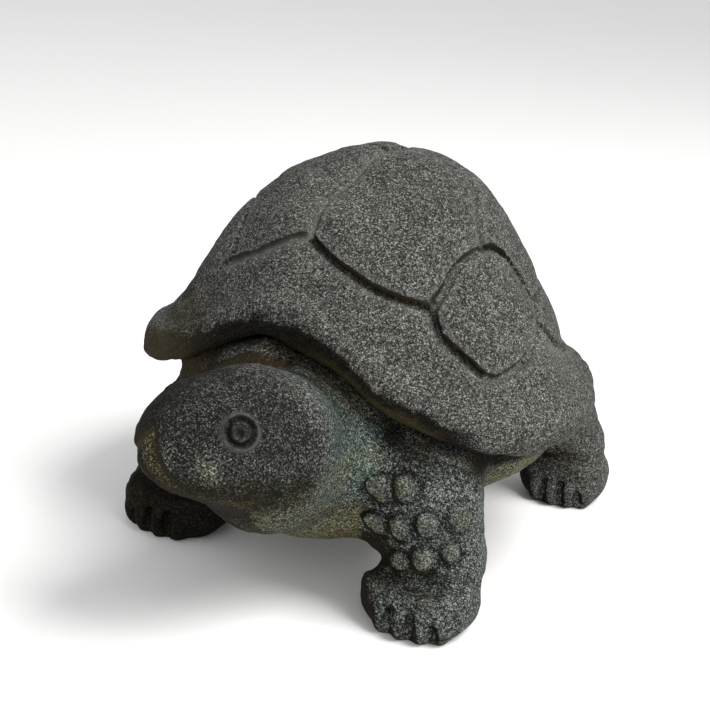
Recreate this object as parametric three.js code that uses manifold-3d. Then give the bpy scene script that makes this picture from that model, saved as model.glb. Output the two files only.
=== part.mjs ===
import * as THREE from 'three';
import { mergeVertices } from 'three/addons/utils/BufferGeometryUtils.js';
import Module from 'manifold-3d';

// A tortoise carved from one block of dark granite, in millimetres, +Z up.
// The head points towards -Y and the animal's left side is +X. The feet stand on z = 0.
// Every place below is measured from the ground under the middle of the shell.

// How far the shell's middle lies behind the middle of the whole figure, where the origin is
const SHELL_MIDDLE = 28.65;

// Shell plan: an egg with square front corners, wider in front than behind
const SHELL_HALF_WIDTH = 96;
const SHELL_FRONT = 76;
const SHELL_REAR = 96;
const FRONT_SQUARENESS = 2.7;
const REAR_SQUARENESS = 2.08;
const SHELL_TAPER = 0.068;

// Shell profile: share of the plan radius and height, from the top down to the lip
const DOME_PROFILE = [
  [0, 167.5], [0.2, 164.5], [0.4, 153.5], [0.56, 135], [0.7, 114.5], [0.8, 97], [0.87, 85.5], [0.93, 79],
];
const LIP_SHARE = 0.935;
const LIP_OVERHANG = 0.065;
const LIP_HEIGHT = 67.5;
const LIP_HALF_THICKNESS = 11.5;
const UNDERSIDE_SHARE = 0.7;
const UNDERSIDE_HEIGHT = 57;

// Wave of the brim: an arch over the neck, small rises in front, at the sides and over the tail
const NECK_ARCH = 35;
const NECK_ARCH_WIDTH = 45;
const FRONT_RISE = 4;
const SIDE_RISE = 1.5;
const SIDE_RISE_LENGTH = 45;
const SIDE_RISE_START = 70;
const TAIL_ARCH = 6;
const TAIL_ARCH_WIDTH = 40;
const FRONT_TO_BACK_BLEND = 12;
const WAVE_FROM = 0.3;
const WAVE_FULL = 0.9;

// Carved seams between the shell plates
const SEAM_RADIUS = 3.4;
const SEAM_DEPTH = 2.2;
const RIDGE_TOP = [-2, -4];
const RIDGE_FRONT = [-8, -60];
const RIDGE_BACK = [0, 66];

// Body, neck, head and tail
const BODY = { center: [0, 4, 56], radii: [80, 80, 34] };
const CHEST = { center: [0, -50, 52], radii: [50, 44, 32] };
const NECK = { from: [0, -48, 62], to: [-3, -102, 69], radii: [40, 27] };
const HEAD = { center: [-2, -119.5, 76], radii: [29, 37.5, 26.5] };
const JAW_DEPTH = 21;
const HEAD_YAW = THREE.MathUtils.degToRad(-30);
const TAIL = { from: [0, 62, 52], to: [4, 92, 36], radii: [14, 5.5] };

// Eyes and mouth on the head, by degrees of turn from the nose and share of the head's height
const EYE_TURN = 72;
const EYE_RISE = 0.62;
const EYE_BALL_RADIUS = 4.8;
const EYE_BALL_SINK = 3;
const EYE_RING_RADIUS = 6.6;
const EYE_RING_TUBE = 1.3;
const PUPIL_RADIUS = 1.3;
const MOUTH_TURN = 84;
const MOUTH_RISE = -0.03;
const MOUTH_DROOP = 0.24;
const MOUTH_RADIUS = 1.7;

// Legs: the left fore leg strides forward and the right one stands back.
// hip and ankle are offsets from the middle of the foot, hip x and both heights from the middle plane.
const FORE_LEG = {
  hipX: 50, hipBack: 12, hipHeight: 48, ankleIn: 1, ankleBack: 5, ankleHeight: 24, radii: [27, 21.5],
};
const HIND_LEG = {
  hipX: 54, hipBack: -4, hipHeight: 50, ankleIn: 1, ankleBack: 2, ankleHeight: 25, radii: [24, 18],
};
const LEFT_FORE_FOOT = [60, -73];
const RIGHT_FORE_FOOT = [-64, -54];
const LEFT_HIND_FOOT = [70, 70];
const RIGHT_HIND_FOOT = [-69, 67];
const FORE_FOOT_RADII = [21.5, 24, 15];
const HIND_FOOT_RADII = [19, 21, 13.5];
const FOOT_LIFT = 0.82;
const TOES = 4;
const TOE_RADII = [5.8, 8.5, 7.5];
const TOE_LIFT = 0.8;
const TOE_REACH = 0.72;
const FIRST_TOE_TURN = -24;
const TOE_STEP = 23;

// Raised scales in staggered rows on the fore legs
const SCALE_RADIUS = 6.2;
const SCALE_SINK = 3.8;
const SCALE_ROWS = 4;
const SCALES_IN_ROW = 5;
const SCALE_FIRST_TURN = -4;
const SCALE_STEP = 27;
const SCALE_FIRST_ROW = -8;
const SCALE_ROW_GAP = 15;

// Fineness of the facets
const SHELL_SIDES = 42;
const DOME_STEPS = 9;
const LIP_STEPS = 5;
const SEAM_STEP = 14;
const TUBE_SIDES = 5;
const MOUTH_STEPS = 12;

const UP = new THREE.Vector3(0, 0, 1);
const { degToRad, lerp, clamp, smoothstep } = THREE.MathUtils;

const wasm = await Module();
wasm.setup();

function solidOf(geometry) {
  geometry.deleteAttribute('normal');
  geometry.deleteAttribute('uv');
  const merged = mergeVertices(geometry, 1e-3);
  return new wasm.Manifold(new wasm.Mesh({
    numProp: 3,
    vertProperties: new Float32Array(merged.attributes.position.array),
    triVerts: new Uint32Array(merged.index.array),
  }));
}

function join(solids) {
  return solids.reduce((whole, piece) => whole.add(piece));
}

function ballGeometry(radii, around, rows) {
  const geometry = new THREE.SphereGeometry(1, around, rows);
  geometry.rotateX(Math.PI / 2);
  geometry.scale(...radii);
  return geometry;
}

function ellipsoid({ center, radii }, around = 18, rows = 10) {
  return solidOf(ballGeometry(radii, around, rows).translate(...center));
}

function ballAt(center, radius, around = 8, rows = 6) {
  return ellipsoid({ center: center.toArray(), radii: [radius, radius, radius] }, around, rows);
}

// Two balls and the cone that touches both
function roundCone({ from, to, radii }, around = 14, arcSteps = 3) {
  const axis = new THREE.Vector3(...to).sub(new THREE.Vector3(...from));
  const length = axis.length();
  const touch = Math.asin((radii[0] - radii[1]) / length);
  const ends = [
    { radius: radii[0], height: 0, low: -Math.PI / 2, high: touch },
    { radius: radii[1], height: length, low: touch, high: Math.PI / 2 },
  ];
  const profile = ends.flatMap(({ radius, height, low, high }) => (
    Array.from({ length: arcSteps + 1 }, (_, step) => {
      const angle = lerp(low, high, step / arcSteps);
      return new THREE.Vector2(radius * Math.cos(angle), height + radius * Math.sin(angle));
    })
  ));
  profile[0].x = 0;
  profile[profile.length - 1].x = 0;
  const geometry = new THREE.LatheGeometry(profile, around);
  const turned = new THREE.Quaternion().setFromUnitVectors(new THREE.Vector3(0, 1, 0), axis.normalize());
  return solidOf(geometry.applyQuaternion(turned).translate(...from));
}

function tubeAlong(points, radius, steps) {
  const section = new THREE.Shape();
  for (let side = 0; side < TUBE_SIDES; side += 1) {
    const angle = (side / TUBE_SIDES) * 2 * Math.PI;
    const corner = [radius * Math.cos(angle), radius * Math.sin(angle)];
    if (side === 0) section.moveTo(...corner);
    else section.lineTo(...corner);
  }
  const extrudePath = new THREE.CatmullRomCurve3(points);
  return solidOf(new THREE.ExtrudeGeometry(section, { steps, extrudePath, bevelEnabled: false }));
}

// Shell

function planRadius(angle) {
  const inFront = Math.sin(angle) < 0;
  const length = inFront ? SHELL_FRONT : SHELL_REAR;
  const power = inFront ? FRONT_SQUARENESS : REAR_SQUARENESS;
  const across = Math.abs(Math.cos(angle)) / SHELL_HALF_WIDTH;
  const along = Math.abs(Math.sin(angle)) / length;
  const radius = (across ** power + along ** power) ** (-1 / power);
  return radius * (1 - SHELL_TAPER * Math.sin(angle));
}

function bump(distance, width, power = 2) {
  return Math.exp(-(Math.abs(distance / width) ** power));
}

// How much the brim is lifted over a plan point; the top of the dome stays still
function brimLift(x, y, share) {
  const inFront = 1 / (1 + Math.exp(y / FRONT_TO_BACK_BLEND));
  const neck = NECK_ARCH * bump(x, NECK_ARCH_WIDTH) * inFront;
  const side = SIDE_RISE * bump(y, SIDE_RISE_LENGTH) * (1 - bump(x, SIDE_RISE_START, 4));
  const tail = TAIL_ARCH * bump(x, TAIL_ARCH_WIDTH) * (1 - inFront);
  return smoothstep(share, WAVE_FROM, WAVE_FULL) * (neck + side + tail + FRONT_RISE * inFront);
}

const domeCurve = new THREE.SplineCurve(DOME_PROFILE.map(([share, z]) => new THREE.Vector2(share, z)));

// Outline of half the shell, up from the middle of its underside, round the lip and over the dome
function shellOutline() {
  const lip = new THREE.EllipseCurve(
    LIP_SHARE, LIP_HEIGHT, LIP_OVERHANG, LIP_HALF_THICKNESS,
    Math.PI / 2, -Math.PI * 0.65, true,
  );
  const underside = [UNDERSIDE_SHARE, 0].map((share) => new THREE.Vector2(share, UNDERSIDE_HEIGHT));
  const dome = domeCurve.getPoints(DOME_STEPS).slice(0, -1);
  return [...dome, ...lip.getPoints(LIP_STEPS), ...underside].reverse();
}

// The outline turned round the middle, then spread to the plan and lifted by the wave of the brim
function shell() {
  const unit = SHELL_HALF_WIDTH;
  const outline = shellOutline().map(({ x, y }) => new THREE.Vector2(x * unit, y));
  const geometry = new THREE.LatheGeometry(outline, SHELL_SIDES);
  geometry.rotateX(Math.PI / 2);
  const position = geometry.attributes.position;
  for (let i = 0; i < position.count; i += 1) {
    const share = Math.hypot(position.getX(i), position.getY(i)) / unit;
    const angle = Math.atan2(position.getY(i), position.getX(i));
    const x = share * planRadius(angle) * Math.cos(angle);
    const y = share * planRadius(angle) * Math.sin(angle);
    position.setXYZ(i, x, y, position.getZ(i) + brimLift(x, y, share));
  }
  return solidOf(geometry);
}

// Point of the dome over a plan point, found by halving along the dome's profile
function domePoint(x, y) {
  const share = Math.hypot(x, y) / planRadius(Math.atan2(y, x));
  let low = 0;
  let high = 1;
  for (let halving = 0; halving < 20; halving += 1) {
    const middle = (low + high) / 2;
    if (domeCurve.getPoint(middle).x < share) low = middle;
    else high = middle;
  }
  return new THREE.Vector3(x, y, domeCurve.getPoint(low).y + brimLift(x, y, share));
}

function domeNormal(x, y) {
  const along = domePoint(x + 1, y).sub(domePoint(x - 1, y));
  const across = domePoint(x, y + 1).sub(domePoint(x, y - 1));
  return along.cross(across).normalize();
}

// The cutter of a groove carved along plan points laid on the dome
function seam(plan) {
  const flat = new THREE.SplineCurve(plan.map(([x, y]) => new THREE.Vector2(x, y)));
  const steps = Math.ceil(flat.getLength() / SEAM_STEP);
  const points = flat.getSpacedPoints(steps).map(({ x, y }) => (
    domePoint(x, y).addScaledVector(domeNormal(x, y), SEAM_RADIUS - SEAM_DEPTH)
  ));
  return tubeAlong(points, SEAM_RADIUS, steps);
}

// The other side of a seam; its ends on the ridge stay where they are
function mirrored(plan) {
  return plan.map((point) => ([RIDGE_TOP, RIDGE_BACK].includes(point) ? point : [-point[0], point[1]]));
}

// A seam along the ridge, one across the top and, on each side, three rounded plates in a row
function seams() {
  const once = [
    [RIDGE_TOP, [-5, -24], [-9, -44], RIDGE_FRONT],
    [RIDGE_TOP, [-2, 20], [-2, 40], RIDGE_BACK],
    [RIDGE_FRONT, [0, -65], [13, -67], [28, -63], [43, -54]],
    [RIDGE_FRONT, [-20, -60], [-32, -57], [-43, -54]],
  ];
  const eachSide = [
    [RIDGE_TOP, [9, -3], [24, -5], [36, 1], [45, -10], [52, -21]],
    [[43, -54], [48, -45], [50, -33], [52, -21]],
    [[43, -54], [49, -59], [58, -58], [68, -52], [76, -38], [78, -20], [75, -9]],
    [[52, -21], [60, -11], [68, -7], [75, -9]],
    [[64, -9], [60, 8], [58, 28]],
    [[75, -9], [81, 4], [79, 20], [71, 33]],
    [[58, 28], [64, 33], [71, 33]],
    [[58, 28], [52, 42], [42, 54]],
    [[71, 33], [66, 48], [54, 57], [42, 54]],
    [[42, 54], [28, 64], [14, 67], RIDGE_BACK],
  ];
  return join([...once, ...eachSide, ...eachSide.map(mirrored)].map(seam));
}

// Head

// Point on the head, by turn from the nose towards the left and by share of its height
function headPoint(turn, rise) {
  const level = Math.sqrt(1 - rise * rise);
  const [halfWidth, halfLength, height] = HEAD.radii;
  const point = new THREE.Vector3(
    halfWidth * level * Math.sin(degToRad(turn)),
    -halfLength * level * Math.cos(degToRad(turn)),
    rise * (rise < 0 ? JAW_DEPTH : height),
  );
  return point.applyAxisAngle(UP, HEAD_YAW).add(new THREE.Vector3(...HEAD.center));
}

function headNormal(turn, rise) {
  const [halfWidth, halfLength, height] = HEAD.radii;
  const level = Math.sqrt(1 - rise * rise);
  const normal = new THREE.Vector3(
    (level * Math.sin(degToRad(turn))) / halfWidth,
    (-level * Math.cos(degToRad(turn))) / halfLength,
    rise / height,
  );
  return normal.applyAxisAngle(UP, HEAD_YAW).normalize();
}

// A round skull over a shallower jaw
function skull() {
  const geometry = ballGeometry(HEAD.radii, 20, 12);
  const position = geometry.attributes.position;
  for (let i = 0; i < position.count; i += 1) {
    const z = position.getZ(i);
    if (z < 0) position.setZ(i, (z * JAW_DEPTH) / HEAD.radii[2]);
  }
  geometry.rotateZ(HEAD_YAW);
  return solidOf(geometry.translate(...HEAD.center));
}

function mouth() {
  const points = Array.from({ length: MOUTH_STEPS + 1 }, (_, step) => {
    const share = (2 * step) / MOUTH_STEPS - 1;
    return headPoint(MOUTH_TURN * share, MOUTH_RISE - MOUTH_DROOP * share * share);
  });
  return tubeAlong(points, MOUTH_RADIUS, MOUTH_STEPS);
}

function eyeRing(center, normal) {
  const geometry = new THREE.TorusGeometry(EYE_RING_RADIUS, EYE_RING_TUBE, 4, 12);
  geometry.applyQuaternion(new THREE.Quaternion().setFromUnitVectors(UP, normal));
  return solidOf(geometry.translate(...center));
}

function head() {
  let solid = skull().subtract(mouth());
  for (const turn of [EYE_TURN, -EYE_TURN]) {
    const center = headPoint(turn, EYE_RISE);
    const normal = headNormal(turn, EYE_RISE);
    const ball = center.clone().addScaledVector(normal, -EYE_BALL_SINK);
    const pupil = center.clone().addScaledVector(normal, EYE_BALL_RADIUS - EYE_BALL_SINK);
    solid = join([solid, eyeRing(center, normal), ballAt(ball, EYE_BALL_RADIUS)]);
    solid = solid.subtract(ballAt(pupil, PUPIL_RADIUS, 6, 4));
  }
  return solid;
}

// Legs

function foot([x, y], radii) {
  const side = Math.sign(x);
  const pieces = [ellipsoid({ center: [x, y, radii[2] * FOOT_LIFT], radii }, 14, 8)];
  for (let toe = 0; toe < TOES; toe += 1) {
    const turn = side * degToRad(FIRST_TOE_TURN + toe * TOE_STEP);
    const geometry = ballGeometry(TOE_RADII, 8, 5).rotateZ(turn);
    geometry.translate(
      x + radii[0] * TOE_REACH * Math.sin(turn),
      y - radii[1] * TOE_REACH * Math.cos(turn),
      TOE_RADII[2] * TOE_LIFT,
    );
    pieces.push(solidOf(geometry));
  }
  return join(pieces);
}

function legCone([x, y], leg) {
  const side = Math.sign(x);
  return {
    from: [side * leg.hipX, y + leg.hipBack, leg.hipHeight],
    to: [x - side * leg.ankleIn, y + leg.ankleBack, leg.ankleHeight],
    radii: leg.radii,
  };
}

// Scales in rows around the outer and front faces of a fore leg
function scalesOn({ from, to, radii }) {
  const start = new THREE.Vector3(...from);
  const axis = new THREE.Vector3(...to).sub(start);
  const length = axis.length();
  axis.normalize();
  const side = Math.sign(from[0]);
  const outward = new THREE.Vector3(side, 0, 0).projectOnPlane(axis).normalize();
  const forward = axis.clone().cross(outward).multiplyScalar(side);
  const scales = [];
  for (let row = 0; row < SCALE_ROWS; row += 1) {
    const along = SCALE_FIRST_ROW + row * SCALE_ROW_GAP;
    const pastEnd = Math.max(-along, along - length, 0);
    const radius = lerp(radii[0], radii[1], clamp(along / length, 0, 1));
    const reach = Math.sqrt(radius * radius - pastEnd * pastEnd) - SCALE_SINK;
    for (let place = 0; place < SCALES_IN_ROW; place += 1) {
      const turn = degToRad(SCALE_FIRST_TURN + SCALE_STEP * (place + (row % 2) / 2));
      const center = start.clone().addScaledVector(axis, along)
        .addScaledVector(outward, reach * Math.cos(turn))
        .addScaledVector(forward, reach * Math.sin(turn));
      scales.push(ballAt(center, SCALE_RADIUS, 6, 4));
    }
  }
  return scales;
}

function foreLeg(footPlace) {
  const cone = legCone(footPlace, FORE_LEG);
  return join([roundCone(cone), foot(footPlace, FORE_FOOT_RADII), ...scalesOn(cone)]);
}

function hindLeg(footPlace) {
  return join([roundCone(legCone(footPlace, HIND_LEG)), foot(footPlace, HIND_FOOT_RADII)]);
}

// The whole figure, with its soles cut flat where it stands

function ground() {
  const size = 4 * SHELL_HALF_WIDTH;
  return solidOf(new THREE.BoxGeometry(size, size, size).translate(0, 0, -size / 2));
}

function tortoise() {
  const whole = join([
    shell().subtract(seams()),
    ellipsoid(BODY),
    ellipsoid(CHEST),
    roundCone(NECK),
    roundCone(TAIL),
    head(),
    foreLeg(LEFT_FORE_FOOT),
    foreLeg(RIGHT_FORE_FOOT),
    hindLeg(LEFT_HIND_FOOT),
    hindLeg(RIGHT_HIND_FOOT),
  ]);
  return whole.subtract(ground());
}

function meshOf(name, solid, material) {
  const { vertProperties, triVerts } = solid.getMesh();
  const geometry = new THREE.BufferGeometry();
  geometry.setAttribute('position', new THREE.BufferAttribute(vertProperties, 3));
  geometry.setIndex(new THREE.BufferAttribute(triVerts, 1));
  const mesh = new THREE.Mesh(geometry, material);
  mesh.name = name;
  return mesh;
}

const granite = new THREE.MeshStandardMaterial({ color: 0x4b4b46, roughness: 0.95, metalness: 0 });
const turtle = meshOf('turtle', tortoise(), granite);
turtle.position.y = SHELL_MIDDLE;

const group = new THREE.Group();
group.add(turtle);
export default group;
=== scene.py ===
"""A tortoise carved from one block of dark granite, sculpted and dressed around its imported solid.

The stone is sculpted as a field of distances in millimetres, measured from the ground under the middle of
the shell, with the head towards -Y and the animal's left side at +X. It is then meshed, weathered and set in
the scene in metres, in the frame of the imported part.
"""
import logging
import math
from collections.abc import Callable, Sequence
from dataclasses import dataclass, field
from enum import Enum

import bpy
import numpy as np
from mathutils import Matrix, Vector


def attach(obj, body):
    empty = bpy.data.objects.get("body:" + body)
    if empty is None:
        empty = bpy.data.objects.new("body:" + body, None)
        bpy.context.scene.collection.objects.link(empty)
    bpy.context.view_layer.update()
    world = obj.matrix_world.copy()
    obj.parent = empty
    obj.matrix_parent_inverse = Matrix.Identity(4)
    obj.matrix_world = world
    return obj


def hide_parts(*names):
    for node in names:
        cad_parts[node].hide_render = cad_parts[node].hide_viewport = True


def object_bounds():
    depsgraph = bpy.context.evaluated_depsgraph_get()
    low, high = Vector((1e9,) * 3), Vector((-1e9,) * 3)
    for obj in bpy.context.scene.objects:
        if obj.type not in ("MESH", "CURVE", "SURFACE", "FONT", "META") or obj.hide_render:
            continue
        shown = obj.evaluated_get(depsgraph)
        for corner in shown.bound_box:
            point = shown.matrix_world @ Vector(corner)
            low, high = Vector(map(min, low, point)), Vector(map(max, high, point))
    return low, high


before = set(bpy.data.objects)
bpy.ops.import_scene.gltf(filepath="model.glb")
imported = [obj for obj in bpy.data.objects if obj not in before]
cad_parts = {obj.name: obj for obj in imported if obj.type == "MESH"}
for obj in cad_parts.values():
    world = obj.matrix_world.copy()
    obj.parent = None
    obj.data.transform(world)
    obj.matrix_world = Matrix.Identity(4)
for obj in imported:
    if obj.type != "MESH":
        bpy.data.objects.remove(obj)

LOG = logging.getLogger("tortoise")
CAD_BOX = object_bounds()

METRES = 0.001
SHELL_MIDDLE = 28.65
FRAME_PIXELS = 710

Array = np.ndarray
Place = tuple[float, float, float]
Spot = tuple[float, float]
UP: Place = (0.0, 0.0, 1.0)


class Side(Enum):
    """A side of the animal, as the sign of X on it."""

    LEFT = 1
    RIGHT = -1


def to_frame(points: Array) -> Array:
    """Returns sculpted points in metres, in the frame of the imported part."""
    return (points + (0.0, SHELL_MIDDLE, 0.0)) * METRES


def from_frame(places: Array) -> Array:
    """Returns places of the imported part's frame in millimetres from the middle of the shell."""
    return places / METRES - (0.0, SHELL_MIDDLE, 0.0)


def in_scene(name: str, data: bpy.types.ID) -> bpy.types.Object:
    """Sets an object into the scene.

    Args:
        name: The object's name.
        data: Its mesh, light or camera.

    Returns:
        The object.
    """
    made = bpy.data.objects.new(name, data)
    bpy.context.scene.collection.objects.link(made)
    return made


# Field helpers


def merge(one: Array, other: Array, width: float) -> Array:
    """Returns two fields of distances joined by a fillet of the given width."""
    share = np.clip(0.5 + 0.5 * (other - one) / width, 0.0, 1.0)
    return other + (one - other) * share - width * share * (1.0 - share)


def fade(distance: Array, width: float | Array, power: float = 2.0) -> Array:
    """Returns a soft bell, 1 at no distance and a third at its width, squarer with a higher power."""
    return np.exp(-(np.abs(distance / width) ** power))


def ramp(value: Array, low: float, high: float) -> Array:
    """Returns a smooth step of each value, from 0 at low to 1 at high."""
    share = np.clip((value - low) / (high - low), 0.0, 1.0)
    return share * share * (3.0 - 2.0 * share)


def fall(value: Array, low: float, high: float) -> Array:
    """Returns a smooth step of each value, from 1 at low to 0 at high."""
    return 1.0 - ramp(value, low, high)


def length(vectors: Array) -> Array:
    """Returns the length of each row."""
    return np.sqrt(np.einsum("...k,...k->...", vectors, vectors))


def sideways(straight: Array, through: Array) -> Array:
    """Returns how much of a straight distance is left beside the part that goes through a surface."""
    return np.sqrt(np.clip(straight**2 - through**2, 0.0, None))


def spin(points: Array, degrees: float) -> Array:
    """Turns points about the vertical.

    Args:
        points: Points or directions, one to a row.
        degrees: Turn to the left, seen from above.

    Returns:
        The turned points.
    """
    angle = math.radians(degrees)
    cos, sin = math.cos(angle), math.sin(angle)
    x, y = points[..., 0], points[..., 1]
    return np.stack([cos * x - sin * y, sin * x + cos * y, points[..., 2]], axis=-1)


def smooth_curve(corners: Sequence[Sequence[float]], spacing: float) -> Array:
    """Draws a smooth curve through points.

    Args:
        corners: Points that the curve passes through.
        spacing: Distance between the points of the result.

    Returns:
        Evenly spaced points of the curve.
    """
    given = np.asarray(corners, dtype=float)
    before = np.vstack([given[:1], given[:-2]])
    after = np.vstack([given[2:], given[-1:]])
    share = np.linspace(0.0, 1.0, 12, endpoint=False)[:, None]
    pieces = []
    for p0, p1, p2, p3 in zip(before, given[:-1], given[1:], after):
        out, into = (p2 - p0) / 2, (p3 - p1) / 2
        cubic = (2 * p1 - 2 * p2 + out + into) * share**3
        pieces.append(cubic + (3 * p2 - 3 * p1 - 2 * out - into) * share**2 + out * share + p1)
    line = np.vstack([*pieces, given[-1:]])
    along = np.concatenate([[0.0], np.cumsum(length(np.diff(line, axis=0)))])
    places = np.linspace(0.0, along[-1], max(2, round(along[-1] / spacing) + 1))
    return np.stack([np.interp(places, along, column) for column in line.T], axis=1)


def line_distance(points: Array, line: Array, reach: float) -> Array:
    """Measures how far points are from a line of straight pieces.

    Args:
        points: Points to measure from.
        line: The line's corners.
        reach: Distance past which the answer may be rounded up to the reach itself.

    Returns:
        The distance of each point, at most the reach.
    """
    best = np.full(len(points), reach)
    near = ((points > line.min(axis=0) - reach) & (points < line.max(axis=0) + reach)).all(axis=1)
    chosen = points[near]
    nearest = np.full(len(chosen), reach)
    for start, end in zip(line[:-1], line[1:]):
        way = end - start
        share = np.clip((chosen - start) @ way / (way @ way), 0.0, 1.0)
        nearest = np.minimum(nearest, length(chosen - start - share[:, None] * way))
    best[near] = nearest
    return best


class Ripples:
    """A smooth random field: many waves of one length in random directions."""

    def __init__(self, wavelength: float, seed: int, waves: int = 28) -> None:
        """Draws the waves.

        Args:
            wavelength: Mean length of the waves in millimetres.
            seed: Seed of the random draw.
            waves: Number of waves.
        """
        draw = np.random.default_rng(seed)
        ways = draw.normal(size=(waves, 3))
        ways /= length(ways)[:, None]
        stretch = draw.uniform(0.7, 1.4, size=(waves, 1))
        self.ways = ways * stretch * 2 * math.pi / wavelength
        self.shifts = draw.uniform(0.0, 2 * math.pi, size=waves)

    def __call__(self, points: Array) -> Array:
        """Returns the field at each point, mostly between -2 and 2."""
        waves = np.cos(points @ self.ways.T + self.shifts)
        return waves.sum(axis=1) * math.sqrt(2.0 / len(self.shifts))


# Plain forms


@dataclass(frozen=True)
class Egg:
    """An ellipsoid that may be turned about the vertical, with a flatter lower half or fuller corners."""

    centre: Place
    radii: Place
    turn: float = 0.0
    lower_height: float | None = None
    squareness: float = 2.0

    def distance(self, points: Array) -> Array:
        """Measures points from the form.

        Args:
            points: The points.

        Returns:
            Distances, negative inside.
        """
        local = spin(points - np.array(self.centre), -self.turn)
        radii = np.array(self.radii)
        if self.lower_height is not None:
            squash = self.radii[2] / self.lower_height
            local[:, 2] = np.where(local[:, 2] < 0, local[:, 2] * squash, local[:, 2])
        part, power = np.abs(local / radii), self.squareness
        share = np.maximum((part**power).sum(axis=1), 1e-12) ** (1.0 / power)
        slope = length(part ** (power - 1.0) / radii) * share ** (1.0 - power)
        return (share - 1.0) / np.maximum(slope, 1e-9)

    def surface(self, turn: float, rise: float) -> tuple[Array, Array]:
        """Finds a point on the egg and the direction out of it.

        Args:
            turn: Degrees from the nose, which is at -Y before the egg's own turn, to the left.
            rise: Share of the upper or lower height.

        Returns:
            The point, and the direction with a length of 1.
        """
        level, angle = math.sqrt(1.0 - rise * rise), math.radians(turn)
        below = self.lower_height or self.radii[2]
        radii = np.array([*self.radii[:2], below if rise < 0 else self.radii[2]])
        shares = np.array([level * math.sin(angle), -level * math.cos(angle), rise])
        out = spin(shares / radii, self.turn)
        return spin(shares * radii, self.turn) + np.array(self.centre), out / length(out)


@dataclass(frozen=True)
class Limb:
    """Two balls and the cone that touches both."""

    start: Place
    end: Place
    start_radius: float
    end_radius: float

    def distance(self, points: Array) -> Array:
        """Measures points from the form.

        Args:
            points: The points.

        Returns:
            Distances, negative inside.
        """
        start, way = np.array(self.start), np.array(self.end) - np.array(self.start)
        span = float(length(way))
        axis = way / span
        along = (points - start) @ axis
        across = length(points - start - along[:, None] * axis)
        slope = (self.start_radius - self.end_radius) / span
        level = math.sqrt(1.0 - slope * slope)
        share = np.clip((along + across * slope / level) / span, 0.0, 1.0)
        radius = self.start_radius + (self.end_radius - self.start_radius) * share
        return np.hypot(along - share * span, across) - radius


# The shell


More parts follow.
